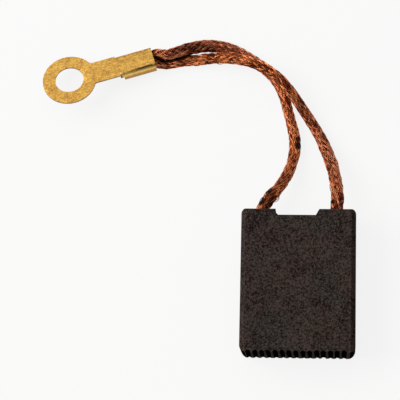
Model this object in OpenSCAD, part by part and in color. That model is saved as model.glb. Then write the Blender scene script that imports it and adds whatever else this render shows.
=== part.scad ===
// Carbon brush with two braided leads that share one crimped ring terminal.
// The brush lies on a broad face, as it is put down on a bench, with its leads on the bench beside it.
// +X runs across the block, +Y from the grooved running face towards the leads, and +Z is up.
// The origin is the middle of the block's footprint, at bench level.

/* [Carbon block] */
// Width of the block, across both leads
block_w = 25; // [24:0.5:27]
// Length of the block, from the ridges of its running face to its lead end
block_l = 31.5; // [30:0.5:32]
// Thickness of the block
block_t = 10; // [9:0.5:12]
// Chamfer along the four long edges
long_chamfer = 1.0; // [0.4:0.1:1.6]
// Chamfer round the lead end
end_chamfer = 0.3; // [0.1:0.1:0.6]
// Radius of the two upright corners at the running face
face_corner_r = 1.6; // [0.8:0.1:2.4]
// Radius of the two upright corners at the lead end
end_corner_r = 1.0; // [0.6:0.1:1.6]

/* [Running face] */
// Number of grooves moulded across the running face
groove_n = 15; // [9:2:15]
// Spacing of the grooves
groove_pitch = 1.475; // [1.4:0.025:1.5]
// Depth of each groove
groove_depth = 0.45; // [0.2:0.05:0.6]
// Radius of each groove's round bottom
groove_r = 0.62; // [0.6:0.01:0.66]
// Sideways offset of the groove pattern from the block's middle
groove_offset = -0.25; // [-0.5:0.05:0.5]

/* [Finger notch] */
// Width of the notch's mouth, where the pressure finger sits
notch_w = 9.6; // [7:0.1:10]
// Depth of the notch
notch_depth = 1.4; // [0.8:0.1:2.0]
// Sideways offset of the notch from the block's middle
notch_offset = -0.25; // [-0.5:0.05:0.5]
// Size of the bevel at the foot of the notch's square wall
notch_bevel = 0.6; // [0.3:0.1:0.8]
// How far the notch's sloping wall runs in
notch_slope = 0.8; // [0.4:0.1:1.2]

/* [Lead sockets] */
// Distance from the block's middle to the axis of each lead socket
socket_x = 8.2; // [7.8:0.1:8.6]
// Diameter of each drilled socket
socket_d = 3.6; // [3.4:0.1:4.0]
// Depth of each socket, down to the start of its drill point
socket_depth = 11; // [8:0.5:13]
// Length of lead that is buried in the tamped powder
lead_buried = 10; // [6:0.5:10.5]
// Depth of the resin that closes each socket's mouth
seal_depth = 1.2; // [0.8:0.1:2.0]
// Height of the resin collar that stands round each lead
seal_rise = 0.3; // [0.2:0.1:0.4]

/* [Leads] */
// Diameter of each braided lead
lead_d = 2.6; // [2.4:0.1:2.6]

/* [Ring terminal] */
// Thickness of the brass sheet
sheet_t = 0.5; // [0.4:0.05:0.6]
// Outer diameter of the ring
ring_d = 12.2; // [11.6:0.2:13]
// Diameter of the stud hole
stud_hole_d = 6.5; // [6.2:0.1:6.8]
// Width of the flat shank, and of the barrel that is folded from it
barrel_w = 5.3; // [5.1:0.1:5.6]
// Height of the folded barrel
barrel_h = 3.0; // [3.0:0.05:3.1]
// Distance from the stud hole's centre to the start of the barrel
barrel_start = 12.2; // [11.6:0.1:13]
// Length of the barrel
barrel_l = 7.5; // [6.5:0.1:8]
// Distance from the stud hole's centre to the low shoulders ahead of the barrel
shoulder_start = 11.3; // [10.5:0.1:11.5]
// Height of those shoulders
shoulder_h = 1.3; // [1.2:0.1:1.8]
// Radius of the wide fillet between ring and shank
wide_fillet_r = 1.4; // [1:0.1:2]
// Radius of the tight fillet between ring and shank
tight_fillet_r = 0.5; // [0.3:0.1:0.8]

/* [Terminal on the bench] */
// Place of the stud hole's centre, across the block
terminal_x = -52.4; // [-53:0.1:-52]
// Place of the stud hole's centre, along the block
terminal_y = 46.5; // [46:0.1:47]
// Turn of the terminal on the bench
terminal_yaw = 17.5; // [16:0.5:19]
// Slope of the terminal, down towards its barrel
terminal_pitch = 3; // [2:0.5:4]
// Roll of the terminal onto one folded edge of its barrel
terminal_roll = -15; // [-17:0.5:-13]

/* [Hidden] */

eps = 0.01;
curve_fn = 72;        // facets of every true round
socket_r = socket_d / 2;
socket_z = block_t / 2;
mouth_y = block_l / 2;
collar_y = mouth_y + seal_rise;
drill_point_h = socket_r * tan(31);   // a 118 degree drill leaves this cone

barrel_end = barrel_start + barrel_l;
top_bend_r = 0.7;     // outside of the bend between top plate and side wall
foot_bend_r = 0.9;    // outside of the bend between side wall and folded wing
curl_r = 0.8;         // outside of the curl at each wing's tip
curl_gap = 0.04;      // half of the gap between the two tips
curl_tip = 0.2;       // straight stretch at each tip
wall_in = barrel_w / 2 - sheet_t;     // half of the room between the side walls
floor_in = sheet_t - barrel_h;        // level of the folded wings inside the barrel
fillet_overcut = 0.02;

// ---- Placing the terminal ----

function turn_x(a, p) = [p.x, p.y * cos(a) - p.z * sin(a), p.y * sin(a) + p.z * cos(a)];
function turn_y(a, p) = [p.x * cos(a) + p.z * sin(a), p.y, p.z * cos(a) - p.x * sin(a)];
function turn_z(a, p) = [p.x * cos(a) - p.y * sin(a), p.x * sin(a) + p.y * cos(a), p.z];
function turned(p) = turn_z(terminal_yaw, turn_y(terminal_pitch, turn_x(terminal_roll, p)));

// The barrel's far foot bend touches the bench at the barrel's open end.
foot_axis = [barrel_end, barrel_w / 2 - foot_bend_r, foot_bend_r - barrel_h];
terminal_z = foot_bend_r * cos(terminal_pitch) - turned(foot_axis).z;
terminal_at = [terminal_x, terminal_y, terminal_z];
function placed(p) = terminal_at + turned(p);

// ---- Lead routes ----

// Each lead is crimped into its own half of the barrel, round this point of the barrel's section.
lobe = [1.1, -1.5];
crimped_at = [barrel_end, barrel_start + 0.2];
lobe_left = [for (x = crimped_at) placed([x, lobe.x, lobe.y])];
lobe_right = [for (x = crimped_at) placed([x, -lobe.x, lobe.y])];
// Just outside the barrel's mouth the left lead rises over the right one.
mouth_left = placed([barrel_end + 1.2, 0.8, -1.1]);
mouth_right = placed([barrel_end + 1.2, -1.4, -2.0]);

// The left lead bends at once towards the middle and lies on the bench all the way.
// Each point is [x, y, z], and the last value is how far the crimp has squeezed the lead there.
route_left = concat(
    [for (y = [mouth_y - lead_buried, mouth_y - seal_depth, collar_y]) [-socket_x, y, socket_z, 0]],
    [
        [-8.0, 16.9, 5.0, 0], [-7.0, 18.6, 4.9, 0], [-5.5, 20.5, 4.5, 0], [-3.9, 22.9, 3.6, 0],
        [-2.4, 25.9, 2.5, 0], [-1.5, 29.2, 1.6, 0], [-1.2, 32.5, 1.3, 0], [-1.8, 36.1, 1.3, 0],
        [-2.8, 39.9, 1.3, 0], [-3.8, 43.4, 1.3, 0], [-5.4, 46.8, 1.3, 0], [-7.9, 49.6, 1.3, 0],
        [-11.2, 52.0, 1.3, 0],
        [-14.9, 54.1, 1.3, 0], [-18.7, 55.2, 1.3, 0], [-22.4, 55.2, 1.7, 0], [-25.8, 54.2, 2.5, 0.2],
        [-28.2, 53.3, 2.9, 0.6], [-30.4, 52.7, 2.8, 0.9]
    ],
    [for (p = concat([mouth_left], lobe_left)) [p.x, p.y, p.z, 1]]
);

// The right lead stands straight out, comes down to the bench and crosses over the left one.
route_right = concat(
    [for (y = [mouth_y - lead_buried, mouth_y - seal_depth, collar_y]) [socket_x, y, socket_z, 0]],
    [
        [8.4, 19.2, 4.9, 0], [8.1, 22.5, 4.5, 0], [7.4, 26.0, 3.5, 0], [6.3, 29.6, 2.3, 0],
        [4.8, 33.2, 1.5, 0], [2.8, 36.8, 1.4, 0], [0.5, 40.2, 2.2, 0], [-1.9, 43.5, 3.5, 0],
        [-4.8, 46.8, 4.1, 0], [-8.3, 49.4, 4.1, 0], [-12.2, 51.0, 4.0, 0], [-16.0, 51.8, 3.2, 0],
        [-19.9, 52.2, 2.1, 0], [-23.6, 52.0, 1.4, 0], [-25.8, 51.9, 1.3, 0.1], [-28.2, 51.5, 1.3, 0.4],
        [-30.4, 51.1, 1.1, 0.9]
    ],
    [for (p = concat([mouth_right], lobe_right)) [p.x, p.y, p.z, 1]]
);

// Two eight-sided sections, listed from the inner end of the top side outwards, then down and back.
flat_to_corner = 1 / cos(22.5);
round_section = [for (a = [112.5:-45:-202.5]) lead_d / 2 * flat_to_corner * [cos(a), sin(a)]];
crimped_section = [for (p = [
        [0, -sheet_t], [wall_in - 0.2, -sheet_t], [wall_in, -sheet_t - 0.2], [wall_in, -2.1],
        [wall_in - 0.4, floor_in], [0.9, floor_in], [0.6, -1.85], [0, -1.65]
    ]) p - lobe];

function point(route, k) = [route[k][0], route[k][1], route[k][2]];
function unit(v) = v / norm(v);
function heading(route, k) =
    unit(point(route, min(k + 1, len(route) - 1)) - point(route, max(k - 1, 0)));

// One ring of a lead: the section at route point k, square to the lead there.
// hand is 1 where the crimped section's outer side lies to the left of the heading, else -1.
function lead_ring(route, k, hand) =
    let (squeeze = route[k][3],
         along = heading(route, k),
         lift = unit((1 - squeeze) * [0, 0, 1] + squeeze * turned([0, 0, 1])),
         side = unit(cross(lift, along)),
         up = cross(along, side))
    [for (i = [0:7])
        let (q = (1 - squeeze) * round_section[i] + squeeze * crimped_section[i])
        point(route, k) + hand * q.x * side + q.y * up];

module lead(route, hand) {
    n = len(route);
    points = [for (k = [0:n - 1]) each lead_ring(route, k, hand)];
    walls = [for (k = [0:n - 2], i = [0:7])
        [8 * k + i, 8 * k + (i + 1) % 8, 8 * k + 8 + (i + 1) % 8, 8 * k + 8 + i]];
    caps = [[for (i = [7:-1:0]) i], [for (i = [0:7]) 8 * (n - 1) + i]];
    faces = concat(walls, caps);
    flipped = [for (f = faces) [for (i = [len(f) - 1:-1:0]) f[i]]];
    color([0.62, 0.33, 0.19])
        polyhedron(points, hand > 0 ? faces : flipped, convexity = 6);
}

module lead_left() { lead(route_left, -1); }

module lead_right() { lead(route_right, 1); }

// ---- Carbon block ----

// Rounds one convex corner of an outline when it is subtracted there. The corner points to +X +Y.
module corner_cutter(r) {
    difference() {
        translate([-r, -r]) square(r + eps);
        translate([-r, -r]) circle(r, $fn = curve_fn);
    }
}

module corner_cutters() {
    for (side = [-1, 1]) {
        translate([side * block_w / 2, block_l / 2]) mirror([side < 0 ? 1 : 0, 0])
            corner_cutter(end_corner_r);
        translate([side * block_w / 2, -block_l / 2]) mirror([0, 1]) mirror([side < 0 ? 1 : 0, 0])
            corner_cutter(face_corner_r);
    }
}

module groove_cutters() {
    first_x = groove_offset - (groove_n - 1) / 2 * groove_pitch;
    for (i = [0:groove_n - 1])
        translate([first_x + i * groove_pitch, groove_depth - groove_r - block_l / 2])
            circle(groove_r, $fn = curve_fn);
}

// One wall of the notch is square with a bevelled foot, and the other slopes.
module notch_cutter() {
    l = notch_offset - notch_w / 2;
    r = notch_offset + notch_w / 2;
    floor_y = mouth_y - notch_depth;
    polygon([
        [l, mouth_y + 1], [l, floor_y + notch_bevel], [l + notch_bevel, floor_y],
        [r - notch_slope, floor_y], [r, mouth_y], [r, mouth_y + 1]
    ]);
}

// The block's plan: rounded corners, finger notch and grooved running face.
module block_plan() {
    difference() {
        square([block_w, block_l], center = true);
        corner_cutters();
        groove_cutters();
        notch_cutter();
    }
}

// The block's section across its length, with the long edges chamfered.
module block_section() {
    w = block_w / 2;
    c = long_chamfer;
    polygon([
        [-w, c], [-w + c, 0], [w - c, 0], [w, c],
        [w, block_t - c], [w - c, block_t], [-w + c, block_t], [-w, block_t - c]
    ]);
}

// The block's side view, which chamfers both broad faces at the lead end only.
module block_side() {
    c = end_chamfer;
    polygon([
        [-block_l / 2, 0], [mouth_y - c, 0], [mouth_y, c],
        [mouth_y, block_t - c], [mouth_y - c, block_t], [-block_l / 2, block_t]
    ]);
}

// The space left by a drill that enters at the lead end.
module drilled_socket() {
    translate([0, mouth_y + 1, socket_z]) rotate([90, 0, 0]) {
        cylinder(r = socket_r, h = socket_depth + 1, $fn = curve_fn);
        translate([0, 0, socket_depth + 1])
            cylinder(r1 = socket_r, r2 = 0, h = drill_point_h, $fn = curve_fn);
    }
}

module carbon_block() {
    color([0.20, 0.17, 0.16])
        difference() {
            intersection() {
                linear_extrude(block_t) block_plan();
                rotate([90, 0, 0]) linear_extrude(block_l + 2, center = true) block_section();
                rotate([90, 0, 90]) linear_extrude(block_w + 2, center = true) block_side();
            }
            for (side = [-1, 1])
                translate([side * socket_x, 0, 0]) drilled_socket();
        }
}

// ---- Tamped powder and resin seals ----

// The straight stretch of lead inside the socket, as an eight-sided bar.
module buried_lead() {
    translate([0, collar_y + 1, socket_z]) rotate([90, 22.5, 0])
        cylinder(r = lead_d / 2 * flat_to_corner, h = seal_rise + 1 + lead_buried, $fn = 8);
}

// Copper and graphite powder, tamped round the lead's end.
module tamping(side) {
    color([0.42, 0.30, 0.24])
        translate([side * socket_x, 0, 0])
            difference() {
                drilled_socket();
                translate([0, mouth_y - seal_depth + socket_d, socket_z]) cube(2 * socket_d, center = true);
                buried_lead();
            }
}

// Resin that closes the socket's mouth and stands round the lead as a low collar.
module seal(side) {
    color([0.10, 0.09, 0.09])
        translate([side * socket_x, 0, 0])
            difference() {
                translate([0, collar_y, socket_z]) rotate([90, 0, 0]) {
                    cylinder(r1 = socket_r - seal_rise / 2, r2 = socket_r, h = seal_rise, $fn = curve_fn);
                    translate([0, 0, seal_rise]) cylinder(r = socket_r, h = seal_depth, $fn = curve_fn);
                }
                buried_lead();
            }
}

module tamping_left() { tamping(-1); }

module tamping_right() { tamping(1); }

module seal_left() { seal(-1); }

module seal_right() { seal(1); }

// ---- Ring terminal ----

// A quarter of a bent strip's section, in the +X +Y quarter.
module bend(outer_r) {
    intersection() {
        difference() {
            circle(outer_r, $fn = curve_fn);
            circle(outer_r - sheet_t, $fn = curve_fn);
        }
        square(outer_r);
    }
}

// Half of the top plate and the bend down into the side wall.
module plate_and_bend() {
    w = barrel_w / 2;
    translate([0, -sheet_t]) square([w - top_bend_r, sheet_t]);
    translate([w - top_bend_r, -top_bend_r]) bend(top_bend_r);
}

// Half of the low shoulder's section.
module shoulder_half() {
    plate_and_bend();
    translate([wall_in, -shoulder_h]) square([sheet_t, shoulder_h - top_bend_r]);
}

// Half of the closed barrel: top, side wall, folded wing, and the tip curled up between the leads.
module barrel_half() {
    w = barrel_w / 2;
    curl_x = curl_gap + curl_r;
    plate_and_bend();
    translate([wall_in, foot_bend_r - barrel_h]) square([sheet_t, barrel_h - foot_bend_r - top_bend_r]);
    translate([w - foot_bend_r, foot_bend_r - barrel_h]) mirror([0, 1]) bend(foot_bend_r);
    translate([curl_x, -barrel_h]) square([w - foot_bend_r - curl_x, sheet_t]);
    translate([curl_x, curl_r - barrel_h]) rotate(180) bend(curl_r);
    translate([curl_gap, curl_r - barrel_h]) square([sheet_t, curl_tip]);
    translate([curl_gap + sheet_t / 2, curl_r - barrel_h + curl_tip]) circle(sheet_t / 2, $fn = curve_fn);
}

// Runs half a section, mirrored to both sides, along the terminal from one place to another.
module run_section(from, to) {
    translate([from, 0, 0]) rotate([90, 0, 90])
        linear_extrude(to - from)
            for (side = [0, 1]) mirror([side, 0]) children();
}

// Fills the corner between ring and shank up to a circle that blends into both.
// The circle cuts in by a hair, so that it crosses the two edges and doesn't only touch them.
module fillet(r) {
    reach = sqrt(pow(ring_d / 2 + r, 2) - pow(barrel_w / 2 + r, 2));
    difference() {
        polygon([[0, 0], [reach, 0], [reach, barrel_w / 2 + r]]);
        translate([reach, barrel_w / 2 + r]) circle(r + fillet_overcut, $fn = curve_fn);
    }
}

module ring_and_shank() {
    translate([0, 0, -sheet_t])
        linear_extrude(sheet_t)
            difference() {
                union() {
                    circle(ring_d / 2, $fn = 2 * curve_fn);
                    translate([0, -barrel_w / 2]) square([shoulder_start, barrel_w]);
                    fillet(wide_fillet_r);
                    mirror([0, 1]) fillet(tight_fillet_r);
                }
                circle(stud_hole_d / 2, $fn = 2 * curve_fn);
            }
}

module ring_terminal() {
    color([0.80, 0.60, 0.28])
        translate(terminal_at)
            rotate([terminal_roll, terminal_pitch, terminal_yaw]) {
                ring_and_shank();
                run_section(shoulder_start, barrel_start) shoulder_half();
                run_section(barrel_start, barrel_end) barrel_half();
            }
}

carbon_block();
tamping_left();
tamping_right();
seal_left();
seal_right();
lead_left();
lead_right();
ring_terminal();
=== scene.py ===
# %% [markdown]
# # Finishing a carbon brush
# A carbon brush carries current into a spinning rotor. It is a block of baked carbon with two braided
# copper leads, and the leads share one ring terminal, folded from brass sheet.
# The construction model gives every piece its size and place. This lesson makes the finished look:
# the braid's single wires, the folded sheet's soft edges, and the grain of the carbon.

# %% Start
import math

import bpy
import numpy as np
from mathutils import Matrix, Vector


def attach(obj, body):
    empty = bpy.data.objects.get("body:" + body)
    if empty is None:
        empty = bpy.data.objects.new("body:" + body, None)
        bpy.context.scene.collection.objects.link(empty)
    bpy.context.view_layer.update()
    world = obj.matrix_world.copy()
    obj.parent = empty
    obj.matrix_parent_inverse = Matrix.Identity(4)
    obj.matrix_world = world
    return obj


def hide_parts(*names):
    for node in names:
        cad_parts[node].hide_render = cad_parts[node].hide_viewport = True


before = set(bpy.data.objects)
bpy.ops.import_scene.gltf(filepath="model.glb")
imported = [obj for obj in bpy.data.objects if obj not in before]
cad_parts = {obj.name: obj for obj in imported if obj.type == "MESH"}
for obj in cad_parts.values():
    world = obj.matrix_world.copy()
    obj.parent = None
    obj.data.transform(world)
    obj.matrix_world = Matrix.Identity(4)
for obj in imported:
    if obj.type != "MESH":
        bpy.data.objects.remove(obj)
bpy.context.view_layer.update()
MM = 0.001
print("construction nodes:", ", ".join(sorted(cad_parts)))

# %% [markdown]
# ## Camera
# A long lens far above the bench keeps the block's sides nearly parallel. A camera could also be turned by
# three angles, but a place and a point to look at are easier to read and to change. Only the last small
# roll is an angle.

# %% Camera
camera_at = Vector((9.65, -66.6, 393.4)) * MM
looks_at = Vector((-22.4, 19.7, 0)) * MM
camera_roll = math.radians(1.36)

bpy.ops.object.camera_add()
camera = bpy.context.object
camera.name = "camera"
camera.data.lens = 161.9
camera.data.sensor_width = 36
camera.data.clip_start, camera.data.clip_end = 0.01, 10

forward = (looks_at - camera_at).normalized()
right = forward.cross(Vector((0, 1, 0))).normalized()
up = right.cross(forward)
axes = Matrix((right, up, -forward)).transposed().to_4x4()
camera.matrix_world = Matrix.Translation(camera_at) @ axes @ Matrix.Rotation(camera_roll, 4, "Z")
bpy.context.scene.camera = camera
bpy.context.scene.view_settings.view_transform = "Standard"
print(f"camera {(camera_at - looks_at).length / MM:.0f} mm from the middle of the brush")

# %% [markdown]
# ## Writing a material as sums
# A procedural material is a net of nodes. Wired one by one in a script it is long and hard to read.
# So one small class wraps a node's output and gives it Python's own signs: `1 - grime * 0.5` then adds the
# Math nodes. All other nodes come from one method, which takes the node's settings and its inputs.


# %% Material helpers
class Signal:
    """One output of a shader node, on which sums can be written as on a number."""

    def __init__(self, finish, socket):
        self.finish, self.socket = finish, socket

    def sum(self, operation, *values):
        return self.finish.make("ShaderNodeMath", {"operation": operation}, dict(enumerate(values)))

    def __add__(self, other):
        return self.sum("ADD", self, other)

    def __sub__(self, other):
        return self.sum("SUBTRACT", self, other)

    def __rsub__(self, other):
        return self.sum("SUBTRACT", other, self)

    def __mul__(self, other):
        return self.sum("MULTIPLY", self, other)

    __radd__, __rmul__ = __add__, __mul__

    def most(self, other):
        return self.sum("MAXIMUM", self, other)

    def least(self, other):
        return self.sum("MINIMUM", self, other)

    def size(self):
        """The value without its sign."""
        return self.sum("ABSOLUTE", self)

    def step(self, low, high):
        """0 at low, 1 at high, and soft between them. With low above high it falls as the value grows."""
        return self.finish.make("ShaderNodeMapRange", {"interpolation_type": "SMOOTHSTEP"},
                                {"Value": self, "From Min": low, "From Max": high})


class Finish:
    """A material under construction. Patterns are laid out in millimetres on the piece."""

    def __init__(self, name):
        self.material = bpy.data.materials.new(name)
        self.material.use_nodes = True
        self.tree = self.material.node_tree
        self.tree.nodes.clear()
        place = self.make("ShaderNodeTexCoord", output="Object")
        self.mm = self.make("ShaderNodeVectorMath", {"operation": "SCALE"},
                            {"Vector": place, "Scale": 1 / MM})

    def make(self, kind, settings=None, inputs=None, output=0):
        """Adds a node: its settings first, then its inputs' values or links."""
        node = self.tree.nodes.new(kind)
        for name, value in (settings or {}).items():
            setattr(node, name, value)
        for name, value in (inputs or {}).items():
            if isinstance(value, Signal):
                self.tree.links.new(value.socket, node.inputs[name])
            else:
                node.inputs[name].default_value = value
        return Signal(self, node.outputs[output]) if node.outputs else None

    def noise(self, size, detail=2, roughness=0.5, where=None, shift=0):
        """Soft noise from 0 to 1, whose patches are about size millimetres wide."""
        inputs = {"Vector": where or self.mm, "W": shift, "Scale": 1 / size, "Detail": detail,
                  "Roughness": roughness}
        return self.make("ShaderNodeTexNoise", {"noise_dimensions": "4D"}, inputs)

    def grains(self, size):
        """Distance from the nearest grain's middle, for grains of about size millimetres."""
        return self.make("ShaderNodeTexVoronoi", inputs={"Vector": self.mm, "Scale": 1 / size},
                         output="Distance")

    def attribute(self, name):
        return self.make("ShaderNodeAttribute", {"attribute_name": name}, output="Fac")

    def axis(self, name):
        return self.make("ShaderNodeSeparateXYZ", inputs={0: self.mm}, output=name)

    def facing(self, name):
        """How much the surface faces along one of the piece's own axes."""
        normal = self.make("ShaderNodeNewGeometry", output="Normal")
        return self.make("ShaderNodeSeparateXYZ", inputs={0: normal}, output=name)

    def blend(self, amount, under, over):
        """One colour laid over another. Amount 0 shows the colour under, and 1 the colour over."""
        inputs = {"Factor": amount}
        for slot, value in ((6, under), (7, over)):
            inputs[slot] = value if isinstance(value, Signal) else (*value, 1)
        return self.make("ShaderNodeMix", {"data_type": "RGBA"}, inputs, output=2)

    def bump(self, height, depth):
        """Turns a height from 0 to 1 into a dented normal, depth millimetres deep."""
        return self.make("ShaderNodeBump", inputs={"Height": height, "Strength": 1, "Distance": depth * MM})

    def surface(self, **sockets):
        """Closes the material with its main shader."""
        inputs = {name.replace("_", " "): value for name, value in sockets.items()}
        shader = self.make("ShaderNodeBsdfPrincipled", inputs=inputs)
        self.make("ShaderNodeOutputMaterial", inputs={"Surface": shader})
        print(f"{self.material.name}: {len(self.tree.nodes)} nodes")
        return self.material


def dress(piece, material):
    """Gives a piece its one material."""
    piece.data.materials.clear()
    piece.data.materials.append(material)


# %% [markdown]
# ## Light
# Bare metal shows what stands round it, so the light is part of its look. A large warm softbox at the
# left leaves the right side of each piece darker, and a weaker one behind the leads fills the shadows.
# One bare sun would be simpler, but metal would mirror it as a hard spot. The world is pale at the
# horizon and dimmer overhead, where copper needs something dark to mirror. Together they light a flat
# face at about strength 1, at which a colour renders as it is written.


# %% Lamps and world
def softbox(name, towards, distance, size, strength, tint):
    """A square lamp that shines at the brush from a direction. Strength 1 lights a facing surface fully."""
    direction = Vector(towards).normalized()
    bpy.ops.object.light_add(type="AREA", location=looks_at + direction * distance)
    lamp = bpy.context.object
    lamp.name = name
    lamp.rotation_euler = direction.to_track_quat("Z", "Y").to_euler()
    lamp.data.shape, lamp.data.size = "SQUARE", size
    lamp.data.energy = strength * math.pi ** 2 * distance ** 2
    lamp.data.color = tint
    return lamp


softbox("key_light", (-0.75, 0.12, 0.65), 0.9, 0.7, 0.8, (1.0, 0.975, 0.94))
softbox("back_light", (-0.10, 0.80, 0.60), 0.9, 1.0, 0.24, (1.0, 1.0, 1.0))

HORIZON, OVERHEAD, OVERHEAD_FROM = 0.5, 0.22, 0.25
world = bpy.data.worlds.new("studio")
bpy.context.scene.world = world
world.use_nodes = True
sky = world.node_tree
direction = sky.nodes.new("ShaderNodeTexCoord")
height = sky.nodes.new("ShaderNodeSeparateXYZ")
shade = sky.nodes.new("ShaderNodeValToRGB")
for stop, position, grey in zip(shade.color_ramp.elements, (0, OVERHEAD_FROM), (HORIZON, OVERHEAD)):
    stop.position = position
    stop.color = (grey, grey, grey, 1)
sky.links.new(direction.outputs["Generated"], height.inputs[0])
sky.links.new(height.outputs["Z"], shade.inputs[0])
sky.links.new(shade.outputs[0], sky.nodes["Background"].inputs["Color"])
print("two softboxes and a world that dims from", HORIZON, "to", OVERHEAD)

# %% [markdown]
# ## Floor
# The brush lies on white paper. Real paper that fills the view would throw much light back at the brush,
# so the paper is white only to the camera and to what mirrors or looks through it. To all other rays it
# is a dim grey. A share of plain matt white stays in the mix, and that share takes the object's shadow.

# %% Floor
bpy.ops.mesh.primitive_plane_add(size=3, location=(looks_at.x, looks_at.y, 0))
floor = bpy.context.object
floor.name = "floor"

GLOW_SHARE = 0.85
paper = Finish("white_paper")
rays = paper.tree.nodes.new("ShaderNodeLightPath")
camera_ray, glossy_ray, clear_ray = (Signal(paper, rays.outputs[f"Is {kind} Ray"])
                                     for kind in ("Camera", "Glossy", "Transmission"))
seen = camera_ray.most(glossy_ray).most(clear_ray)
matt = paper.make("ShaderNodeBsdfDiffuse", inputs={"Color": (0.9, 0.9, 0.9, 1)})
glow = paper.make("ShaderNodeEmission", inputs={"Color": (1, 1, 1, 1), "Strength": 1})
lifted = paper.make("ShaderNodeMixShader", inputs={0: GLOW_SHARE, 1: matt, 2: glow})
dim = paper.make("ShaderNodeBsdfDiffuse", inputs={"Color": (0.25, 0.25, 0.25, 1)})
either = paper.make("ShaderNodeMixShader", inputs={0: seen, 1: dim, 2: lifted})
paper.make("ShaderNodeOutputMaterial", inputs={"Surface": either})
dress(floor, paper.material)
print("floor laid at the bench's level")

# %% [markdown]
# ## Braided leads: the route
# Each lead is a tube braided from fine bare wire, crimped flat at its far end. It could be a smooth tube
# with a braid painted on, but its edge would then be too clean, and it would look like a hose up close.
# So every wire is modelled. First comes the centreline, a smooth curve through the same points as the
# construction model's. The last value of each point says how far the crimp has squeezed the lead there.

# %% Lead routes
LEAD_R = 1.3
SOCKET_X, BURIED_Y, RESIN_Y, COLLAR_Y, SOCKET_Z = 8.2, 5.75, 14.55, 16.05, 5.0

TERMINAL_AT = Vector((-52.4, 46.5, 4.408))
TERMINAL_TURN = (Matrix.Rotation(math.radians(17.5), 3, "Z") @ Matrix.Rotation(math.radians(3), 3, "Y")
                 @ Matrix.Rotation(math.radians(-15), 3, "X"))
BARREL_START, BARREL_END = 12.2, 19.7
LOBE_SIDE, LOBE_DEPTH = 1.1, 1.5


def on_terminal(x, y, z):
    """A point given along, across and above the terminal, in the brush's own millimetres."""
    return tuple(TERMINAL_AT + TERMINAL_TURN @ Vector((x, y, z)))


def crimped(side, mouth_y, mouth_z):
    """The end of a route: a point just outside the barrel's mouth, then one half of the crimped barrel."""
    inside = [(x, side * LOBE_SIDE, -LOBE_DEPTH) for x in (BARREL_END, BARREL_START + 0.2)]
    return [(*on_terminal(*place), 1) for place in [(BARREL_END + 1.2, mouth_y, mouth_z)] + inside]


def out_of_socket(x):
    return [(x, y, SOCKET_Z, 0) for y in (BURIED_Y, RESIN_Y, COLLAR_Y)]


LEFT_ROUTE = out_of_socket(-SOCKET_X) + [
    (-8.0, 16.9, 5.0, 0), (-7.0, 18.6, 4.9, 0), (-5.5, 20.5, 4.5, 0), (-3.9, 22.9, 3.6, 0),
    (-2.4, 25.9, 2.5, 0), (-1.5, 29.2, 1.6, 0), (-1.2, 32.5, 1.3, 0), (-1.8, 36.1, 1.3, 0),
    (-2.8, 39.9, 1.3, 0), (-3.8, 43.4, 1.3, 0), (-5.4, 46.8, 1.3, 0), (-7.9, 49.6, 1.3, 0),
    (-11.2, 52.0, 1.3, 0), (-14.9, 54.1, 1.3, 0), (-18.7, 55.2, 1.3, 0), (-22.4, 55.2, 1.7, 0),
    (-25.8, 54.2, 2.5, 0.2), (-28.2, 53.3, 2.9, 0.6), (-30.4, 52.7, 2.8, 0.9),
] + crimped(1, 0.8, -1.1)

RIGHT_ROUTE = out_of_socket(SOCKET_X) + [
    (8.4, 19.2, 4.9, 0), (8.1, 22.5, 4.5, 0), (7.4, 26.0, 3.5, 0), (6.3, 29.6, 2.3, 0),
    (4.8, 33.2, 1.5, 0), (2.8, 36.8, 1.4, 0), (0.5, 40.2, 2.2, 0), (-1.9, 43.5, 3.5, 0),
    (-4.8, 46.8, 4.1, 0), (-8.3, 49.4, 4.1, 0), (-12.2, 51.0, 4.0, 0), (-16.0, 51.8, 3.2, 0),
    (-19.9, 52.2, 2.1, 0), (-23.6, 52.0, 1.4, 0), (-25.8, 51.9, 1.3, 0.1), (-28.2, 51.5, 1.3, 0.4),
    (-30.4, 51.1, 1.1, 0.9),
] + crimped(-1, -1.4, -2.0)


def smooth_curve(points, spacing):
    """Points every spacing along a smooth curve through the given ones, whatever their values are."""
    points = np.array(points, float)
    before = np.vstack([2 * points[0] - points[1], points[:-1]])
    after = np.vstack([points[1:], 2 * points[-1] - points[-2]])
    t = np.linspace(0, 1, 40, endpoint=False)[:, None]
    dense = []
    for k in range(len(points) - 1):
        # Hermite curve whose slope at each point is that of the line past it.
        p, q = points[k], points[k + 1]
        span = np.linalg.norm((q - p)[:3])
        slope_p = span * (after[k] - before[k]) / np.linalg.norm((after[k] - before[k])[:3])
        slope_q = span * (after[k + 1] - before[k + 1]) / np.linalg.norm((after[k + 1] - before[k + 1])[:3])
        dense.append((2 * t**3 - 3 * t**2 + 1) * p + (t**3 - 2 * t**2 + t) * slope_p
                     + (3 * t**2 - 2 * t**3) * q + (t**3 - t**2) * slope_q)
    dense = np.vstack(dense + [points[-1:]])
    travelled = np.append(0, np.cumsum(np.linalg.norm(np.diff(dense[:, :3], axis=0), axis=1)))
    wanted = np.linspace(0, travelled[-1], round(travelled[-1] / spacing) + 1)
    return wanted, np.stack([np.interp(wanted, travelled, column) for column in dense.T], axis=1)


RING_STEP = 0.36
left_along, left_line = smooth_curve(LEFT_ROUTE, RING_STEP)
right_along, right_line = smooth_curve(RIGHT_ROUTE, RING_STEP)
print(f"left lead {left_along[-1]:.1f} mm, right lead {right_along[-1]:.1f} mm, buried ends included")

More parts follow.
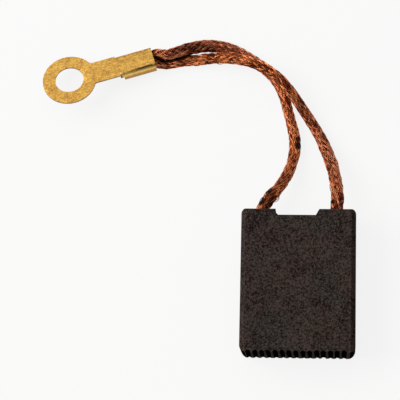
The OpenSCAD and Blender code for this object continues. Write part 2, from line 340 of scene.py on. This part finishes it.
# %% [markdown]
# ## Braided leads: how each was used
# Both leads are the same braid, but use has made them differ. Swell says where a lead is thicker or
# thinner than usual, and aged how brown it has gone: each is a list of a distance along the lead and a
# value. A mark is a place on the bench, a radius, and how dark it is with soot, or below 0 how bright a
# painted highlight it gives. Where a lead lies against the other one, its wires are painted dark as the
# shade between them. One noise for all of it would be shorter, but wear has its causes: soot gathers
# where a lead leaves the block, and crests shine where it is handled.

# %% Wear of the leads
# A mark's amount above 0 is soot, and below 0 a painted highlight.
LEFT = {
    "swell": [(0, 1), (11, 1.12), (14, 1.1), (19, 1.0), (30, 0.98), (36, 0.92), (44, 0.95), (56, 1.04),
              (61, 1.14), (68, 1.16), (72, 1.08), (76, 0.93), (84, 0.95)],
    "aged": [(0, 0.5), (20, 0.25), (40, 0.3), (50, 0.7), (70, 0.8), (75, 0.5)],
    "marks": [((-0.3, 31.8), 1.3, 1.0), ((-0.5, 33.4), 0.9, 0.8), ((-8.4, 18.2), 1.5, 1.0),
              ((-6.9, 20.8), 1.3, 0.9), ((-2.5, 29.7), 0.7, 0.7), ((-6.0, 17.6), 1.0, 0.7),
              ((-1.7, 27.3), 0.9, -0.9), ((-2.2, 25.4), 0.7, -0.7), ((-0.9, 36.6), 1.0, -0.5)],
}
RIGHT = {
    "swell": [(0, 1), (11, 1.16), (16, 1.12), (24, 1.06), (30, 0.98), (40, 0.9), (52, 0.95), (62, 0.96),
              (65, 1.02), (70, 1.02), (76, 0.93), (84, 0.9)],
    "aged": [(0, 0.4), (20, 0.7), (34, 0.7), (44, 0.2), (60, 0.05), (76, 0.3)],
    "marks": [((7.4, 18.2), 0.8, 0.9), ((9.3, 18.9), 0.7, 0.8), ((8.3, 17.2), 0.6, 0.8),
              ((6.3, 25.9), 0.7, 0.7), ((7.0, 22.4), 0.8, -0.8), ((8.6, 20.4), 0.7, -0.5),
              ((-22.5, 52.6), 1.5, -0.5), ((-12.0, 51.5), 1.6, -0.5), ((-1.5, 42.5), 1.5, -0.5)],
}
FRAYED = [(0, 1), (14, 1), (26, 0.3), (34, 0)]
# Painted shade: wires nearer than these distances, in mm, to the other lead's line are painted dark.
SHADE_GAP_FULL, SHADE_GAP_END = 1.35, 2.0


def smooth_step(value, low, high):
    part = np.clip((value - low) / (high - low), 0, 1)
    return part * part * (3 - 2 * part)


def along_lead(stops, along):
    """The values that a list of distances and values has all along a lead."""
    return np.interp(along, *zip(*stops))


def dirt_at(points, marks, other_line):
    """How dark the wires are at some points: painted shade where the other lead lies close, and soot at the
    marks, whose amounts below 0 give painted highlights.
    """
    gap = np.sqrt(((points[:, None] - other_line[None, ::2, :3]) ** 2).sum(axis=2)).min(axis=1)
    dirt = 1 - smooth_step(gap, SHADE_GAP_FULL, SHADE_GAP_END)
    for place, radius, amount in marks:
        away = np.linalg.norm(points[:, :2] - place, axis=1)
        dirt = dirt + amount * (1 - smooth_step(away, 0.3 * radius, radius))
    return dirt


print(len(LEFT["marks"]), "marks on the left lead,", len(RIGHT["marks"]), "on the right one")

# %% [markdown]
# ## Braided leads: round, then crimped
# A lead is round along most of its length, and the crimp presses it into half of the barrel. The crimped
# section has eight corners, one for each eighth of a turn, so any point round the lead can be blended
# into it. A circle swept to the end would be less work, but it would leave the barrel's corners empty.

# %% Sections of a lead
FIRST_CORNER = np.radians(112.5)
EIGHTH = np.pi / 4
ROUND_ANGLES = FIRST_CORNER - EIGHTH * np.arange(8)
WALL_IN, SHEET, FLOOR_IN = 2.15, 0.5, -2.5
CRIMPED_SECTION = np.array([
    (0, -SHEET), (WALL_IN - 0.2, -SHEET), (WALL_IN, -SHEET - 0.2), (WALL_IN, -2.1),
    (WALL_IN - 0.4, FLOOR_IN), (0.9, FLOOR_IN), (0.6, -1.85), (0, -1.65),
]) - (LOBE_SIDE, -LOBE_DEPTH)


def lead_frames(line, hand):
    """Sideways and upward directions of a lead's section at each point of its line."""
    ahead = np.gradient(line[:, :3], axis=0)
    ahead /= np.linalg.norm(ahead, axis=1)[:, None]
    squeeze = line[:, 3:]
    lift = (1 - squeeze) * (0, 0, 1) + squeeze * np.array(TERMINAL_TURN @ Vector((0, 0, 1)))
    side = np.cross(lift, ahead)
    side /= np.linalg.norm(side, axis=1)[:, None]
    return hand * side, np.cross(ahead, side)


def lead_surface(line, hand, angle, radius):
    """Points round a lead. Angle and radius have a value for each point of the line, and the crimp's
    squeeze blends the round section into the crimped one."""
    side, up = lead_frames(line, hand)
    squeeze = line[:, 3]
    turn = np.mod(FIRST_CORNER - angle, 2 * np.pi) / EIGHTH
    closed = np.vstack([CRIMPED_SECTION, CRIMPED_SECTION[:1]])
    share = (radius / LEAD_R) * squeeze
    across = (1 - squeeze) * radius * np.cos(angle) + share * np.interp(turn, range(9), closed[:, 0])
    above = (1 - squeeze) * radius * np.sin(angle) + share * np.interp(turn, range(9), closed[:, 1])
    return line[:, :3] + side * across[:, None] + up * above[:, None]


print("crimped section", 2 * WALL_IN, "mm wide over both leads")

# %% [markdown]
# ## Braided leads: one wire
# A wire is a thin tube along its own path. A curve object with a bevel would give one too, but a mesh can
# carry numbers on its points, and the finish needs them to know the crests from the hollows. Four sides
# are enough for a wire a seventh of a millimetre thick.

# %% One wire
WIRE_R = 0.068
WIRE_SIDES = 4


def wander(random, along, length, size):
    """Smooth random numbers along a wire: a new one every length, each about size large."""
    knots = np.arange(along[0] - length, along[-1] + 2 * length, length)
    values = random.normal(0, size, len(knots))
    return np.interp(along, knots, values)


def wire_points(line):
    """Points round a wire whose middle follows a line, ring after ring."""
    ahead = np.gradient(line, axis=0)
    ahead /= np.linalg.norm(ahead, axis=1)[:, None]
    side = np.cross((0.1, 0.2, 1), ahead)
    side /= np.linalg.norm(side, axis=1)[:, None]
    up = np.cross(ahead, side)
    turn = np.arange(WIRE_SIDES) * 2 * np.pi / WIRE_SIDES
    around = np.cos(turn)[:, None] * side[:, None] + np.sin(turn)[:, None] * up[:, None]
    return (line[:, None] + WIRE_R * MM * around).reshape(-1, 3)


def tube_faces(rings, sides, start):
    """Faces of a closed tube whose rings of points follow each other from the point start."""
    first = start + np.arange(rings - 1)[:, None] * sides
    here = np.arange(sides)
    there = (here + 1) % sides
    walls = np.stack([first + here, first + there, first + sides + there, first + sides + here], axis=-1)
    ends = [list(here[::-1] + start), list(here + start + (rings - 1) * sides)]
    return walls.reshape(-1, 4).tolist() + ends


print(f"each wire is {2 * WIRE_R:.2f} mm thick")

# %% [markdown]
# ## Braided leads: the braid
# A braiding machine carries bobbins round in two rings that turn against each other. Each bobbin passes
# over two bobbins of the other ring and under the next two. Here 12 bobbins go each way, and each lays
# three wires side by side. The height of a wire is a wave along its path: out where it passes over, in
# where it passes under. Seeded noise then loosens the wires as handling does, and a few stand off.

# %% Braid
BOBBINS, WIRES, WIRE_PITCH = 12, 3, 0.15
LAY, LIFT = 21.0, 0.11
BRAID_R = LEAD_R - LIFT - WIRE_R
SHADE_CORE_R = 0.78 * BRAID_R
STRAY_FROM, STRAY_LIFT = 2.0, 0.3


def braid(name, along, line, look, hand, seed, other_line):
    """One braided lead: its 72 wires and a core inside them, painted near black as the shade seen between
    them, as one piece.
    """
    random = np.random.default_rng(seed)
    frayed = along_lead(FRAYED, along)
    thick = along_lead(look["swell"], along) * (1 + (1 + frayed) * wander(random, along, 3.5, 0.018))
    age = along_lead(look["aged"], along)
    travel = 2 * np.pi * along / LAY
    crossings = 2 * travel * BOBBINS / (2 * np.pi)
    free = np.clip(1 - line[:, 3], 0, 1)
    vertices, faces = [], []
    carried = {"tint": [], "worn": [], "dirt": [], "aged": []}

    def carry(repeats, **values):
        """Notes the numbers that each new point carries for the finish."""
        for attribute, value in values.items():
            carried[attribute].append(np.repeat(value, repeats))

    for way in (1, -1):
        for bobbin in range(BOBBINS):
            phase = 2 * bobbin + way * crossings
            out = way * np.cos(np.pi / 2 * phase - np.pi / 4)
            bunch = wander(random, along, 4, 0.06) * (1 + frayed)
            loose = wander(random, along, 3, 0.05) * (0.6 + frayed)
            shade = wander(random, along, 4, 0.4)
            for wire in range(WIRES):
                spread = (wire - (WIRES - 1) / 2) * WIRE_PITCH / BRAID_R
                angle = way * travel + 2 * np.pi * bobbin / BOBBINS + spread + bunch
                angle = angle + wander(random, along, 2.5, 0.03) * (1 + frayed)
                stray = np.clip(wander(random, along, 3, 1) - STRAY_FROM + 0.4 * frayed, 0, 1) * STRAY_LIFT
                radius = BRAID_R * thick + LIFT * out + free * (loose + stray)
                radius = radius + wander(random, along, 1.5, 0.014)
                points = lead_surface(line, hand, angle, radius)
                points[:, 2] = np.maximum(points[:, 2], WIRE_R)
                faces.extend(tube_faces(len(points), WIRE_SIDES, sum(map(len, vertices))))
                vertices.append(wire_points(points * MM))
                carry(WIRE_SIDES, tint=shade + wander(random, along, 1.2, 0.35), worn=out, aged=age,
                      dirt=dirt_at(points, look["marks"], other_line))

    # Painted shade: the core stands for the shade inside the braid and is painted near black.
    bulk = [lead_surface(line, hand, np.full(len(along), a), SHADE_CORE_R * thick) for a in ROUND_ANGLES]
    core_faces = tube_faces(len(along), len(bulk), sum(map(len, vertices)))
    faces.extend([face[::-1] for face in core_faces] if hand > 0 else core_faces)
    vertices.append(np.stack(bulk, axis=1).reshape(-1, 3) * MM)
    carry(len(along) * len(bulk), tint=-1.0, worn=-3.0, dirt=1.0, aged=1.0)

    mesh = bpy.data.meshes.new(name)
    mesh.from_pydata(np.vstack(vertices).tolist(), [], faces)
    for attribute, values in carried.items():
        mesh.attributes.new(attribute, "FLOAT", "POINT").data.foreach_set("value", np.concatenate(values))
    mesh.polygons.foreach_set("use_smooth", [True] * len(mesh.polygons))
    piece = bpy.data.objects.new(name, mesh)
    bpy.context.scene.collection.objects.link(piece)
    print(f"{name}: {2 * BOBBINS * WIRES} wires, {sum(len(f) - 2 for f in faces)} triangles")
    return piece


left_braid = braid("braid_left", left_along, left_line, LEFT, -1, 3, right_line)
right_braid = braid("braid_right", right_along, right_line, RIGHT, 1, 8, left_line)

# %% [markdown]
# ## Copper: dull, rubbed and sooty, with painted shade
# Bare copper goes brown in air, shines again on the crests that are handled, and turns black where soot
# settles. The core and the wires that lie against the other lead are painted near black as shade, and a
# few places are painted bright as highlights. Three flat colours would show hard borders. So each wire
# carries its own tint, its height in the braid, its soot and painted light, and its age, and these are
# mixed with two sizes of noise before the colour is chosen.

# %% Copper
copper = Finish("dulled_copper")
tint, worn, dirt, aged = (copper.attribute(name) for name in ("tint", "worn", "dirt", "aged"))
patches = copper.noise(4, detail=3, roughness=0.6)
crumbs = copper.noise(0.5, detail=2, roughness=0.6, shift=3)
# Soot and painted shade lower this, and the painted highlights at the marks raise it.
rubbed_and_highlit = worn * 0.35 + tint + patches * 1.4 + crumbs * 1.6 + aged * 0.3 - dirt * 0.8 - 1.3
rubbed_and_highlit = rubbed_and_highlit.step(0.1, 0.85)
tarnish = copper.blend(patches.step(0.35, 0.65), (0.13, 0.024, 0.010), (0.34, 0.078, 0.03))
bright = copper.blend(aged, (1.0, 0.33, 0.11), (0.74, 0.27, 0.145))
metal = copper.blend(rubbed_and_highlit, tarnish, bright)
# Near-black non-metal: painted shade on the core and between the leads, and soot at the marks.
metal_share = worn.step(-2.5, -0.9) * (1 - (dirt + crumbs * 0.8 - 0.4).step(0.25, 0.9) * 0.92)
colour = copper.blend(metal_share, (0.012, 0.005, 0.004), metal)
scratches = copper.noise(0.1, detail=1)
braid_finish = copper.surface(Base_Color=colour, Metallic=metal_share * 0.9, Roughness=0.48 - rubbed_and_highlit * 0.16,
                              Specular_IOR_Level=0.1,
                              Normal=copper.bump(scratches, 0.01))

# %% [markdown]
# ## Leads in place
# Each braid stands for the plain tube of the construction model, which stays as its collision shape. It
# rides on the one body that the whole brush is.

# %% Leads in place
for piece, node in ((left_braid, "lead_left"), (right_braid, "lead_right")):
    dress(piece, braid_finish)
    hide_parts(node)
    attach(piece, "root")
    print(f"{piece.name} stands for {node}")

# %% [markdown]
# ## Modelling helpers
# The rigid pieces are modelled as by hand: a primitive is set down at its size, faces and edges are picked
# by their place, and an edit-mode operator shapes what is picked. Picking by place keeps working when a
# size changes, which picking by index number would not.


# %% Modelling helpers
def new_piece(add, name, **settings):
    """Adds a primitive by itself, in millimetres, and opens it in edit mode with everything selected."""
    bpy.ops.object.select_all(action="DESELECT")
    add(enter_editmode=True, **settings)
    bpy.ops.mesh.select_mode(type="VERT")
    bpy.ops.mesh.select_all(action="SELECT")
    piece = bpy.context.object
    piece.name = piece.data.name = name
    return piece


def pick(kind, test):
    """Selects the vertices, edges or faces whose points all pass a test, in edit mode."""
    bpy.ops.mesh.select_all(action="DESELECT")
    bpy.ops.mesh.select_mode(type=kind)
    bpy.ops.object.mode_set(mode="OBJECT")
    mesh = bpy.context.object.data
    elements = {"VERT": mesh.vertices, "EDGE": mesh.edges, "FACE": mesh.polygons}[kind]
    for element in elements:
        corners = [element.index] if kind == "VERT" else element.vertices
        element.select = all(test(*mesh.vertices[corner].co) for corner in corners)
    bpy.ops.object.mode_set(mode="EDIT")


def near(value, target):
    return abs(value - target) < 0.002


def extrude(x=0, y=0, z=0):
    bpy.ops.mesh.extrude_region_move(TRANSFORM_OT_translate={"value": (x, y, z)})


def arc(centre, degrees, steps, axis=(0, 0, 1)):
    """Sweeps what is selected round a centre, anticlockwise as seen from the axis's tip, which is the
    other way from the spin operator's."""
    bpy.ops.mesh.spin(steps=steps, angle=-math.radians(degrees), center=centre, axis=axis)


def tidy_mesh():
    """Merges doubled points and turns every face outwards."""
    bpy.ops.mesh.select_all(action="SELECT")
    bpy.ops.mesh.remove_doubles(threshold=0.0005)
    bpy.ops.mesh.normals_make_consistent(inside=False)


def use_modifier(piece, kind, **settings):
    """Adds a modifier, sets it and applies it."""
    modifier = piece.modifiers.new(kind.lower(), kind)
    for name, value in settings.items():
        setattr(modifier, name, value)
    bpy.context.view_layer.objects.active = piece
    bpy.ops.object.modifier_apply(modifier=modifier.name)


def cut(piece, cutter):
    """Takes a cutter's shape out of a piece, and throws the cutter away."""
    use_modifier(piece, "BOOLEAN", operation="DIFFERENCE", solver="EXACT", object=cutter)
    bpy.data.objects.remove(cutter)


def finish_piece(piece, node, material, matrix=None):
    """Scales a piece from millimetres to metres, puts it in place and lets it stand for its node."""
    piece.data.transform(Matrix.Scale(MM, 4) @ (matrix or Matrix()))
    bpy.ops.object.select_all(action="DESELECT")
    piece.select_set(True)
    bpy.context.view_layer.objects.active = piece
    bpy.ops.object.shade_smooth_by_angle(angle=math.radians(40))
    use_modifier(piece, "WEIGHTED_NORMAL", keep_sharp=True)
    dress(piece, material)
    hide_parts(node)
    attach(piece, "root")
    print(f"{piece.name}: {len(piece.data.polygons)} faces, stands for {node}")

# %% [markdown]
# ## Ring terminal: the flat blank
# The terminal is stamped from half-millimetre brass sheet and folded. It could be cut from a solid bar, but
# a folded sheet has one thickness everywhere, bends and not corners, and a fine slit where the fold
# starts. So it is made as the press makes it: first the outline is drawn with a pen, one point swept
# along lines and arcs, and filled. The piece lies flat, in its own millimetres, until the end.

# %% Blank outline
RING_R, HOLE_R = 6.1, 3.25
HALF_W = 2.65
SHOULDER_START, RELIEF_W = 11.3, 0.04
TOP_BEND_R, FOOT_BEND_R, CURL_R, CURL_GAP = 0.7, 0.9, 0.8, 0.04
BARREL_H, SHOULDER_H = 3.0, 1.3
CURL_TIP = 0.45
PLATE_HALF_W = HALF_W - TOP_BEND_R
WIDE_FILLET_R, TIGHT_FILLET_R = 1.4, 0.5


def pen_at(x, y):
    """Makes the picked geometry one point, the pen, and puts it at a place."""
    bpy.ops.mesh.merge(type="CENTER")
    bpy.ops.transform.translate(value=(x, y, 0))


def fillet(radius):
    """Where a fillet between ring and shank sits: its centre along and across the shank, and the angle
    at which it meets the ring."""
    centre_y = HALF_W + radius
    along = math.sqrt((RING_R + radius) ** 2 - centre_y ** 2)
    return along, centre_y, math.degrees(math.atan2(centre_y, along))


wide_x, wide_y, wide_angle = fillet(WIDE_FILLET_R)
tight_x, tight_y, tight_angle = fillet(TIGHT_FILLET_R)

terminal = new_piece(bpy.ops.mesh.primitive_plane_add, "folded_terminal", size=1)
pen_at(SHOULDER_START, HALF_W)
extrude(x=wide_x - SHOULDER_START)
arc((wide_x, wide_y, 0), -(90 - wide_angle), 6)
arc((0, 0, 0), 360 - wide_angle - tight_angle, 96)
arc((tight_x, -tight_y, 0), -(90 - tight_angle), 4)
extrude(x=SHOULDER_START - tight_x)
extrude(y=HALF_W - PLATE_HALF_W + RELIEF_W)
extrude(x=RELIEF_W)
extrude(y=-RELIEF_W)
extrude(x=BARREL_START - SHOULDER_START - RELIEF_W)
extrude(x=BARREL_END - BARREL_START)
extrude(y=2 * PLATE_HALF_W)
extrude(x=BARREL_START - BARREL_END)
extrude(x=SHOULDER_START + RELIEF_W - BARREL_START)
extrude(y=RELIEF_W)
extrude(x=-RELIEF_W)
extrude(y=-RELIEF_W - PLATE_HALF_W + HALF_W)
tidy_mesh()
print("outline drawn, fillets meet the ring at", round(wide_angle), "and", round(tight_angle), "degrees")

# %% [markdown]
# ## Ring terminal: the hole, the folds and the thickness
# A face drawn between the outline and a circle leaves the stud hole open. Each side edge is then spun into
# a bend and pulled down into a wall, and on the barrel it goes on: round the foot, in to the middle, and up
# between the leads. All of this is still a skin with no thickness. Solidify adds the half millimetre
# inwards, and a small bevel gives the stamped edges their slight roundness.

# %% Folded terminal
bpy.ops.mesh.primitive_circle_add(vertices=96, radius=HOLE_R, location=(0, 0, 0))
bpy.ops.mesh.select_all(action="SELECT")
bpy.ops.mesh.fill()
tidy_mesh()


def fold(side):
    """Bends one long edge of the plate down, and closes the barrel's half with it."""
    def edge_at(y, z, from_x):
        return lambda px, py, pz: near(py, side * y) and near(pz, z) and px > from_x

    pick("EDGE", edge_at(PLATE_HALF_W, 0, SHOULDER_START + RELIEF_W / 2))
    arc((0, side * PLATE_HALF_W, -TOP_BEND_R), -side * 90, 7, axis=(1, 0, 0))
    extrude(z=TOP_BEND_R - SHOULDER_H)
    pick("EDGE", edge_at(HALF_W, -SHOULDER_H, BARREL_START - 0.01))
    extrude(z=SHOULDER_H + FOOT_BEND_R - BARREL_H)
    arc((0, side * (HALF_W - FOOT_BEND_R), FOOT_BEND_R - BARREL_H), -side * 90, 7, axis=(1, 0, 0))
    curl_y = CURL_GAP + CURL_R
    extrude(y=-side * (HALF_W - FOOT_BEND_R - curl_y))
    arc((0, side * curl_y, CURL_R - BARREL_H), -side * 90, 7, axis=(1, 0, 0))
    extrude(z=CURL_TIP)


fold(1)
fold(-1)
tidy_mesh()
bpy.ops.object.mode_set(mode="OBJECT")
use_modifier(terminal, "SOLIDIFY", thickness=SHEET, offset=-1, use_even_offset=True)
use_modifier(terminal, "BEVEL", width=0.07, segments=2, limit_method="ANGLE", angle_limit=math.radians(50))
print("folded terminal:", len(terminal.data.polygons), "faces")

# %% [markdown]
# ## Carbon block: pressed, drilled and grooved
# The block is pressed from powder in a die, which leaves its upright corners round and its long edges
# chamfered. It could be an extruded outline, but the real order of work is easy to follow: a plain
# block, corners rounded, edges planed off, the running face grooved, the notch cut and the sockets drilled.

# %% Carbon block
BLOCK_W, BLOCK_L, BLOCK_T = 25, 31.5, 10
END_Y = BLOCK_L / 2
LONG_CHAMFER, END_CHAMFER = 1.0, 0.3
FACE_CORNER_R, END_CORNER_R = 1.6, 1.0

block = new_piece(bpy.ops.mesh.primitive_cube_add, "carbon_body", size=1, location=(0, 0, BLOCK_T / 2),
                  scale=(BLOCK_W, BLOCK_L, BLOCK_T))
bpy.ops.object.mode_set(mode="OBJECT")
bpy.ops.object.transform_apply()
bpy.ops.object.mode_set(mode="EDIT")
for end, radius in ((-1, FACE_CORNER_R), (1, END_CORNER_R)):
    for side in (-1, 1):
        pick("EDGE", lambda x, y, z: near(x, side * BLOCK_W / 2) and near(y, end * END_Y))
        bpy.ops.mesh.bevel(offset=radius, segments=8, affect="EDGES")


def plane_off(point, outwards):
    """Cuts away what lies beyond a plane and closes the cut."""
    bpy.ops.mesh.select_all(action="SELECT")
    bpy.ops.mesh.bisect(plane_co=point, plane_no=outwards, use_fill=True, clear_outer=True)


for side in (-1, 1):
    for level, way in ((LONG_CHAMFER, -1), (BLOCK_T - LONG_CHAMFER, 1)):
        plane_off((side * BLOCK_W / 2, 0, level), (side, 0, way))
for level, way in ((END_CHAMFER, -1), (BLOCK_T - END_CHAMFER, 1)):
    plane_off((0, END_Y, level), (0, 1, way))
tidy_mesh()
bpy.ops.object.mode_set(mode="OBJECT")
print("block with its corners and chamfers:", len(block.data.polygons), "faces")

# %% [markdown]
# ## Carbon block: grooves, notch and sockets
# The grooves let the running face bed in quickly. On the real block they are shallower towards the
# underside, and not quite even, so each cutter leans and gets small seeded errors.
# A cutter is a plain solid that a Boolean takes away. The lead-end notch is an outline extruded through
# the block, and each socket is a drill with its point.

# %% Cut the block
GROOVES, GROOVE_PITCH, GROOVE_R, GROOVE_SHIFT = 15, 1.475, 0.62, -0.25
GROOVE_DEPTH, GROOVE_RISE = 0.5, 0.3
SIDE_ERROR, RADIUS_ERROR, DEPTH_ERROR, LEAN_ERROR = 0.035, 0.012, 0.04, 0.006
NOTCH_W, NOTCH_DEPTH, NOTCH_SHIFT, NOTCH_BEVEL, NOTCH_SLOPE = 9.6, 1.4, -0.25, 0.6, 0.8
SOCKET_R, SOCKET_DEPTH = 1.8, 11
DRILL_POINT = SOCKET_R * math.tan(math.radians(31))

random = np.random.default_rng(5)
for i in range(GROOVES):
    x = GROOVE_SHIFT + (i - (GROOVES - 1) / 2) * GROOVE_PITCH + random.normal(0, SIDE_ERROR)
    radius = GROOVE_R + random.normal(0, RADIUS_ERROR)
    y = GROOVE_DEPTH - GROOVE_RISE / 2 - END_Y - radius + random.normal(0, DEPTH_ERROR)
    lean = (random.normal(0, LEAN_ERROR) - GROOVE_RISE / BLOCK_T, random.normal(0, LEAN_ERROR), 0)
    cutter = new_piece(bpy.ops.mesh.primitive_cylinder_add, "groove_cutter", vertices=40, radius=radius,
                       depth=BLOCK_T + 4, location=(x, y, BLOCK_T / 2), rotation=lean)
    bpy.ops.object.mode_set(mode="OBJECT")
    cut(block, cutter)

notch = new_piece(bpy.ops.mesh.primitive_plane_add, "notch_cutter", size=1)
pen_at(NOTCH_SHIFT - NOTCH_W / 2, END_Y + 1)
extrude(y=NOTCH_BEVEL - NOTCH_DEPTH - 1)
extrude(x=NOTCH_BEVEL, y=-NOTCH_BEVEL)
extrude(x=NOTCH_W - NOTCH_BEVEL - NOTCH_SLOPE)
extrude(x=NOTCH_SLOPE, y=NOTCH_DEPTH)
extrude(y=1)
bpy.ops.mesh.select_all(action="SELECT")
bpy.ops.mesh.edge_face_add()
bpy.ops.transform.translate(value=(0, 0, -1))
extrude(z=BLOCK_T + 2)
tidy_mesh()
bpy.ops.object.mode_set(mode="OBJECT")
cut(block, notch)

for side in (-1, 1):
    middle = (side * SOCKET_X, END_Y + (1 - SOCKET_DEPTH) / 2, SOCKET_Z)
    drill = new_piece(bpy.ops.mesh.primitive_cylinder_add, "drill", vertices=64, radius=SOCKET_R,
                      depth=SOCKET_DEPTH + 1, location=middle, rotation=(math.pi / 2, 0, 0))
    bpy.ops.object.mode_set(mode="OBJECT")
    bpy.ops.object.transform_apply()
    bpy.ops.object.mode_set(mode="EDIT")
    pick("FACE", lambda x, y, z: near(y, END_Y - SOCKET_DEPTH))
    extrude(y=-DRILL_POINT)
    bpy.ops.mesh.merge(type="CENTER")
    tidy_mesh()
    bpy.ops.object.mode_set(mode="OBJECT")
    cut(block, drill)

use_modifier(block, "BEVEL", width=0.14, segments=2, limit_method="ANGLE", angle_limit=math.radians(28))
print("block grooved, notched and drilled:", len(block.data.polygons), "faces")

# %% [markdown]
# ## Carbon: a dark, grainy, dry surface
# Baked carbon and graphite is near black, with brown and grey clouds from the mixing, and grains that
# catch the light. It could be one grey with a bump, but a real block is never even. So noise of four
# sizes varies the colour, and the two finest also dent the surface. On the running face the grooves are
# painted black as shade, and the ridges between them are painted a little lighter as light.
# The shader's own shine is off, because so dark a surface would show every bit of it.

# %% Carbon
carbon = Finish("baked_carbon")
clouds = carbon.noise(7, detail=2, roughness=0.5)
blotches = carbon.noise(2.2, detail=3, roughness=0.6, shift=9)
flecks = carbon.noise(0.55, detail=2, roughness=0.7)
grain = carbon.noise(0.28, detail=1, roughness=0.5, shift=4)
mottle = blotches * 0.7 + flecks * 1.5 + grain * 1.7 - 1.45
brown = carbon.blend(mottle.step(0, 1), (0.009, 0.005, 0.0045), (0.086, 0.062, 0.054))
grey = carbon.blend(mottle.step(0, 1), (0.0085, 0.006, 0.0052), (0.077, 0.064, 0.057))
shade = carbon.blend(clouds.step(0.38, 0.62), brown, grey)
faces_front = (-1 * carbon.facing("Y")).step(0.25, 0.8)
lands = (-1 * carbon.axis("Y")).step(END_Y - 0.09, END_Y - 0.03)
# Painted shade: the grooves of the running face are painted near black.
shade = carbon.blend(faces_front * (1 - lands), shade, (0.003, 0.0012, 0.001))
# Painted light: the ridges of the running face are painted lighter.
shade = carbon.blend(faces_front * lands, shade, (0.11, 0.075, 0.066))
height = grain * 0.6 + flecks * 0.4
carbon_finish = carbon.surface(Base_Color=shade, Roughness=0.9, Specular_IOR_Level=0.0,
                               Normal=carbon.bump(height, 0.12))
finish_piece(block, "carbon_block", carbon_finish)

# %% [markdown]
# ## Brass: stained sheet
# The terminal was never cleaned: the sheet is golden, with brown stains, fine dark specks and dark
# scratches beside the folds, and the lower part of each cut edge is darker brown. The folded walls are
# painted browner below as shade and paler on the bend as a highlight, and the low shoulder and the foot
# of the barrel are painted near black as shade. A picture wrapped round it would stretch there, so the
# pattern is laid out along, across and above the sheet. Stains also make the metal rougher, which is what
# dulls real brass.

# %% Brass
brass = Finish("stained_brass")
turned = TERMINAL_TURN.to_euler()
on_sheet = brass.make("ShaderNodeMapping", {"vector_type": "TEXTURE"},
                      {"Vector": brass.mm, "Location": TERMINAL_AT, "Rotation": turned})
along, across, above = (brass.make("ShaderNodeSeparateXYZ", inputs={0: on_sheet}, output=axis)
                        for axis in "XYZ")
rolled = brass.make("ShaderNodeMapping", inputs={"Vector": on_sheet, "Scale": (0.35, 1, 1)})
stains = brass.noise(2.2, detail=3, roughness=0.6)
specks = brass.noise(0.32, detail=2, roughness=0.7, shift=2)
lines = brass.noise(0.4, detail=2, where=rolled, shift=7)
dull = (stains * 1.2 + specks * 2.2 + lines * 1.4 - 2.4).step(-0.55, 0.55)
tone = brass.blend(dull, (1.0, 0.60, 0.125), (0.52, 0.265, 0.062))


def beside(value, place, width):
    """1 on a line and 0 beyond width millimetres from it."""
    return 1 - (value - place).size().step(0, width)


# The lower part of each cut edge of the ring and shank is darker brown.
cut_edge_below = above.step(-0.12, -0.3)
folded = along.step(SHOULDER_START - 0.1, SHOULDER_START + 0.1)
tone = brass.blend(cut_edge_below * (1 - folded), tone, (0.16, 0.07, 0.03))
# Painted highlight: the bend of each folded wall is painted paler.
bend = (-1 * above).step(0.05, 0.3) * (-1 * above).step(1.3, 0.8) * folded
tone = brass.blend(bend * 0.6, tone, (1.0, 0.72, 0.24))
# Painted shade: the folded walls are painted browner towards their lower part.
wall = (-1 * above).step(0.9, 1.6) * folded
tone = brass.blend(wall * 0.75, tone, (0.46, 0.215, 0.05))
grime_and_shade = beside(across, -2.2, 0.4) * along.step(11, 17) * (lines + specks * 0.5).step(0.55, 0.8)
grime_and_shade = grime_and_shade + beside(across, 2.1, 0.5) * along.step(10, 13) * (lines + specks * 0.5).step(0.66, 0.9) * 0.8
grime_and_shade = grime_and_shade + (specks * 1.4 + stains * 0.8 - 1.3).step(0.0, 0.35) * 0.5
# Painted shade: the foot of the barrel, more than 2.4 mm below the top, is painted dark.
grime_and_shade = grime_and_shade + (-1 * above).step(2.4, 2.9) * 0.7
# Painted shade: the low shoulder wall where the fold starts is painted dark.
grime_and_shade = grime_and_shade + beside(along, SHOULDER_START + 0.1, 0.7) * (-1 * above).step(0.3, 0.6)
tone = brass.blend(grime_and_shade.least(0.92), tone, (0.028, 0.014, 0.010))
brass_finish = brass.surface(Base_Color=tone, Metallic=0.85, Roughness=0.42 + dull * 0.12,
                             Normal=brass.bump(lines * 0.5 + specks * 0.5, 0.02))
finish_piece(terminal, "ring_terminal", brass_finish,
             Matrix.Translation(TERMINAL_AT) @ TERMINAL_TURN.to_4x4())

# %% [markdown]
# ## Sockets: tamped powder and resin
# These four pieces keep the shape that the construction model gives them, and only get a finish. The
# powder that grips each lead is coarse, dark and a little coppery. The resin over it is almost black and
# has a soft shine.

# %% Powder and resin
powder = Finish("tamped_powder")
crumbs = powder.grains(0.18)
dark = powder.blend(crumbs.step(0.1, 0.7), (0.16, 0.07, 0.035), (0.03, 0.02, 0.017))
powder_finish = powder.surface(Base_Color=dark, Roughness=0.7 + crumbs * 0.2, Metallic=0.3,
                               Normal=powder.bump(crumbs, 0.06))

resin = Finish("dark_resin")
skin = resin.noise(0.8, detail=3)
black = resin.blend(skin.step(0.3, 0.7), (0.008, 0.007, 0.006), (0.03, 0.022, 0.017))
resin_finish = resin.surface(Base_Color=black, Roughness=0.35 + skin * 0.3, Normal=resin.bump(skin, 0.05))
for node, finish in (("tamping_left", powder_finish), ("tamping_right", powder_finish),
                     ("seal_left", resin_finish), ("seal_right", resin_finish)):
    dress(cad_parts[node], finish)
print("four socket pieces finished")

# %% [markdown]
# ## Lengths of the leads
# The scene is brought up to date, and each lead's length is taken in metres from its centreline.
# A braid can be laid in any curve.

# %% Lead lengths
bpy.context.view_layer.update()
for piece, along, line, side in ((left_braid, left_along, left_line, -1),
                                 (right_braid, right_along, right_line, 1)):
    along[-1] * MM
